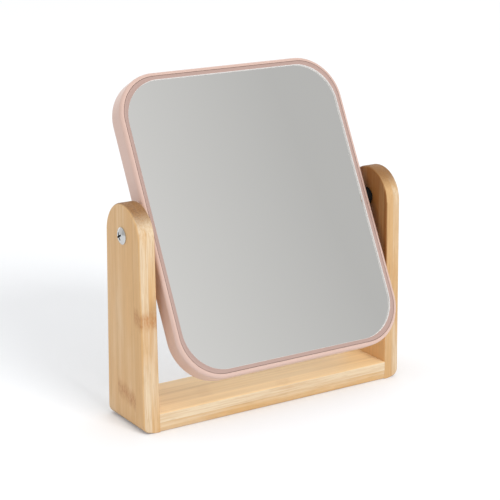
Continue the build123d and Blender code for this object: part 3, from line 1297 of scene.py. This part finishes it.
@dataclass
class Pivots:
    """The screws, spacers and inserts that the mirror turns on."""

    head_height: float = 2.3 * MM
    head_rim: float = 0.55 * MM
    rim_edge: float = 0.25 * MM
    shank: float = 2.0 * MM
    tip_edge: float = 0.5 * MM
    dome_steps: int = 9
    recess_span: float = 6.0 * MM
    recess_slot: float = 1.35 * MM
    recess_depth: float = 1.7 * MM
    recess_taper: float = 0.72
    spacer_hole: float = 2.2 * MM
    spacer_edge: float = 0.45 * MM
    bore_edge: float = 0.15 * MM

    def screw(self, nickel: Material, recess: Material) -> Object:
        """Models the right screw, with its dome, cross recess and shank.

        Args:
            nickel: The finish of the screw.
            recess: The dark finish of the walls and floor of its cross recess, painted shade.

        Returns:
            The finished screw.
        """
        low, high = mirror_box("right_pivot_screw")
        radius = high.z
        seat = high.x - self.head_height
        rise = self.head_height - self.head_rim
        ball = (radius**2 + rise**2) / (2 * rise)
        insets = [radius * step / (self.dome_steps + 0.6) for step in range(1, self.dome_steps + 1)]
        sunk = self.head_height - ball
        dome = [(inset, sunk + math.sqrt(ball**2 - (radius - inset) ** 2), 0) for inset in insets]
        crown = eased([(0, self.head_rim / 2, 0), (0, self.head_rim, self.rim_edge), *dome])
        length = seat - low.x
        neck = radius - self.shank
        under = eased([(0, 0, 0), (neck, 0, 0), (neck, length, self.tip_edge), (neck + MM, length, 0)])
        screw = Blank.disc("nickel_right_screw", radius, Vector((seat, 0, 0)))
        with screw:
            screw.thicken(Vector((self.head_rim / 2, 0, 0)))
            screw.pick_end(RIGHT)
            screw.walk(crown)
            bpy.ops.mesh.merge(type="CENTER")
            screw.pick_end(LEFT)
            screw.walk(under)
        screw.take_out(self.recess_arm(high.x, False), self.recess_arm(high.x, True))
        give(screw.piece, nickel, recess)

        def in_recess(face: Face) -> bool:
            """Whether a face is a wall or the floor of the cross recess."""
            middle = face.calc_center_median()
            inside = math.hypot(middle.y, middle.z) < self.recess_span / 2 and middle.x > seat
            return inside and (face.normal.x < 0.5 or middle.x < high.x - self.recess_depth + MERGE_GAP)

        # The recess's walls and floor take the dark finish, painted shade.
        with screw:
            screw.pick_faces(in_recess)
            screw.piece.active_material_index = 1
            bpy.ops.object.material_slot_assign()
        return screw.finish(TILT)

    def recess_arm(self, apex: float, upright: bool) -> Blank:
        """Makes the cutter of one arm of the cross recess.

        Args:
            apex: X of the head's top.
            upright: Whether the arm runs up and down, or across.

        Returns:
            The tapered cutter.
        """
        half = Vector((0, self.recess_span / 2, self.recess_slot / 2))
        if upright:
            half = Vector((0, half.z, half.y))
        floor = Vector((apex - self.recess_depth, 0, 0))
        arm = Blank.block("arm", floor - half, Vector((apex + MM, 0, 0)) + half)
        with arm:
            arm.pick_faces(lambda face: face.normal.x < -0.99)
            taper = self.recess_taper
            bpy.ops.transform.resize(value=(1, taper, taper), center_override=floor)
        return arm

    def spacer(self) -> Object:
        """Models the right spacer, a rubber ring with eased edges."""
        low, high = mirror_box("right_spacer")
        length = high.x - low.x
        wall = high.z - self.spacer_hole
        corners = [(0, 0.75 * length, 0), (0, length, self.spacer_edge), (wall, length, self.bore_edge)]
        path = eased([*corners, (wall, length / 2, 0)])
        ring = Blank.disc("rubber_right_spacer", high.z, Vector((low.x + length / 4, 0, 0)))
        with ring:
            ring.thicken(Vector((length / 2, 0, 0)))
            ring.close_ring((RIGHT, LEFT), (path, path))
        return ring.finish(TILT)

    def build(self, fine: NodeTree) -> None:
        """Models and dresses the pivot pieces.

        Args:
            fine: The fine surface node group.
        """
        nickel = NICKEL.build(fine)
        rubber = BLACK_RUBBER.build(fine)
        brass = TURNED_BRASS.build(fine)
        screw = self.screw(nickel, SHADED_RECESS.build(fine))
        spacer = self.spacer()
        give(spacer, rubber)
        for right, slot, node in ((screw, Slot.STEEL, "pivot_screw"), (spacer, Slot.RUBBER, "spacer")):
            left = mirrored(right, right.name.replace("right", "left"))
            for side, piece in (("right", right), ("left", left)):
                place_on(piece, Body.MIRROR, slot, f"{side}_{node}")
        for node in ("left_insert", "right_insert"):
            give(frame["nodes"][node], brass)


@dataclass
class Studio:
    """The floor, the lights, the surroundings and the camera."""

    camera_place: Triple = (-0.55212, -0.85551, 0.39518)
    camera_yaw: float = math.radians(32.555)
    camera_pitch: float = math.radians(-16.159)
    lens: float = 116.45
    floor_size: float = 12.0
    floor_depth: float = -0.0002
    floor_colour: Triple = (0.852, 0.865, 0.884)
    floor_glow: float = 0.105
    darkest_gloss: float = 0.53
    key_azimuth: float = math.radians(8)
    key_height: float = math.radians(33)
    key_distance: float = 10.0
    key_size: float = 4.4
    key_watts: float = 510.0
    front_fill: float = 0.81
    back_fill: float = 0.93
    back_gloss: float = 1.35
    left_gloss: float = 0.65
    middle_gloss: float = 1.86
    gloss_rightwards: float = -1.94
    gloss_upwards: float = -0.49
    sensor: float = 36

    def build(self) -> None:
        """Sets up the whole studio."""
        self.set_camera()
        self.lay_floor()
        self.hang_key()
        self.paint_surroundings()
        bpy.context.scene.view_settings.view_transform = "Standard"

    def set_camera(self) -> None:
        """Places the camera where the photograph was taken from."""
        bpy.ops.object.camera_add(
            location=self.camera_place, rotation=(math.pi / 2 + self.camera_pitch, 0, -self.camera_yaw)
        )
        camera = bpy.context.object
        camera.name = "photo_camera"
        camera.data.lens = self.lens
        camera.data.sensor_width = self.sensor
        bpy.context.scene.camera = camera

    def lay_floor(self) -> None:
        """Lays the white floor, which shows the object's shadow."""
        clear_selection()
        bpy.ops.mesh.primitive_plane_add(size=self.floor_size, location=(0, 0, self.floor_depth))
        floor = bpy.context.object
        floor.name = "studio_floor"
        material, g, shader = new_material("studio_floor")
        shader.inputs["Base Color"].default_value = (*self.floor_colour, 1)
        shader.inputs["Roughness"].default_value = 1.0
        shader.inputs["Specular IOR Level"].default_value = 0.0
        path = g.add("ShaderNodeLightPath").outputs
        seen = g.maths("MAXIMUM", path["Is Camera Ray"], path["Is Glossy Ray"])
        glow = g.maths("MULTIPLY", seen, self.floor_glow)
        shader.inputs["Emission Color"].default_value = (1, 1, 1, 1)
        g.tree.links.new(glow, shader.inputs["Emission Strength"])
        give(floor, material)

    def hang_key(self) -> None:
        """Hangs the one soft lamp, in front and a little to the right, out of all reflections."""
        flat = math.cos(self.key_height)
        side, ahead = math.sin(self.key_azimuth) * flat, -math.cos(self.key_azimuth) * flat
        way = Vector((side, ahead, math.sin(self.key_height)))
        bpy.ops.object.light_add(type="AREA", location=way * self.key_distance + Vector((0, 0, 0.1)))
        key = bpy.context.object
        key.name = "key_softbox"
        key.rotation_euler = way.to_track_quat("Z", "Y").to_euler()
        key.data.shape = "DISK"
        key.data.size = self.key_size
        key.data.energy = self.key_watts
        key.visible_glossy = False

    def paint_surroundings(self) -> None:
        """Paints the studio round the object: bright behind it, and greyer in front."""
        world = bpy.data.worlds.new("studio")
        bpy.context.scene.world = world
        world.use_nodes = True
        g = Graph(world.node_tree)
        world.node_tree.nodes.clear()
        way = g.add("ShaderNodeSeparateXYZ", {0: g.add("ShaderNodeTexCoord").outputs["Generated"]}).outputs
        level = g.maths("MULTIPLY_ADD", way["X"], self.gloss_rightwards, self.middle_gloss)
        level = g.maths("MULTIPLY_ADD", way["Z"], self.gloss_upwards, level)
        level = g.maths("MINIMUM", g.maths("MAXIMUM", level, self.darkest_gloss), 1.0)
        level = g.maths("MAXIMUM", level, g.ramp(way["Y"], -0.1, 0.6, 0.0, self.back_gloss))
        level = g.maths("MULTIPLY", level, g.ramp(way["X"], -0.45, -0.15, self.left_gloss, 1.0))
        path = g.add("ShaderNodeLightPath").outputs
        plain = g.maths("MAXIMUM", path["Is Camera Ray"], path["Is Transmission Ray"])
        level = g.between(plain, level, 1.0)
        shown = g.maths("MAXIMUM", plain, path["Is Glossy Ray"])
        fill = g.ramp(way["Y"], -0.4, 0.4, self.front_fill, self.back_fill)
        strength = g.between(shown, fill, level)
        background = g.add("ShaderNodeBackground", {"Color": (1, 1, 1, 1), "Strength": strength})
        g.add("ShaderNodeOutputWorld", {"Surface": background.outputs[0]})


def main() -> None:
    """Builds the mirror and the studio in order."""
    logging.basicConfig(level=logging.INFO, format="%(name)s: %(message)s")
    bamboo = bamboo_board_group()
    fine = fine_surface_group()
    Studio().build()
    Stand().build(bamboo, fine)
    Moulding().build(fine)
    Pivots().build(fine)


if __name__ == "__main__":
    main()
